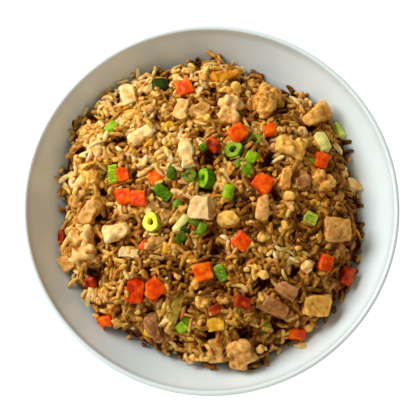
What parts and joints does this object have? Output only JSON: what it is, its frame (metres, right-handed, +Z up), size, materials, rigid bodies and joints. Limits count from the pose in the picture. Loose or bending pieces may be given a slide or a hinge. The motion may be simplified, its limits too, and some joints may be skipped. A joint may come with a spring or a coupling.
{
  "type": "plate of fried rice",
  "caption": "Fried rice with chicken, carrot, scallion, celery and egg heaped in a shallow white glazed bowl.",
  "frame": {"origin": "the middle of the bowl's foot, on the surface that it stands on", "axes": "+Z up out of the bowl; +Y towards the far side of the bowl as it is looked down on, +X to the right"},
  "size_m": [0.228, 0.228, 0.0653],
  "materials": {
    "glaze": "smooth white glaze, glossy",
    "rice": "oiled grains, golden brown to cream, satin",
    "chicken": "cooked diced chicken, cream to golden, moist satin",
    "carrot": "cooked diced carrot, wet satin",
    "scallion": "cut scallion, bright to dark green, wet satin",
    "celery": "pale yellow-green slices, translucent, wet satin",
    "egg": "scrambled egg, yellow and white, moist"
  },
  "bodies": {
    "root": {"bowl": "glaze", "rice_heap": "rice", "carrot_01": "carrot", "carrot_02": "carrot", "carrot_03": "carrot", "carrot_04": "carrot", "carrot_05": "carrot", "carrot_06": "carrot", "carrot_07": "carrot", "carrot_08": "carrot", "carrot_09": "carrot", "carrot_10": "carrot", "carrot_11": "carrot", "carrot_12": "carrot", "carrot_13": "carrot", "carrot_14": "carrot", "carrot_15": "carrot", "carrot_16": "carrot", "scallion_ring_01": "scallion", "scallion_ring_02": "scallion", "scallion_ring_03": "scallion", "scallion_cut_01": "scallion", "scallion_cut_02": "scallion", "scallion_cut_03": "scallion", "scallion_cut_04": "scallion", "scallion_cut_05": "scallion", "celery_01": "celery", "celery_02": "celery", "egg_01": "egg", "egg_02": "egg", "chicken_01": "chicken", "chicken_02": "chicken", "chicken_03": "chicken", "chicken_04": "chicken", "chicken_05": "chicken", "chicken_06": "chicken", "chicken_07": "chicken", "chicken_08": "chicken", "chicken_09": "chicken", "chicken_10": "chicken", "chicken_11": "chicken", "chicken_12": "chicken", "chicken_13": "chicken", "chicken_14": "chicken", "chicken_15": "chicken", "chicken_16": "chicken", "chicken_17": "chicken", "chicken_18": "chicken", "chicken_19": "chicken", "chicken_20": "chicken", "chicken_21": "chicken", "chicken_22": "chicken", "chicken_23": "chicken", "chicken_24": "chicken", "chicken_25": "chicken", "chicken_26": "chicken", "chicken_27": "chicken", "chicken_28": "chicken", "chicken_29": "chicken", "chicken_30": "chicken"}
  },
  "joints": []
}
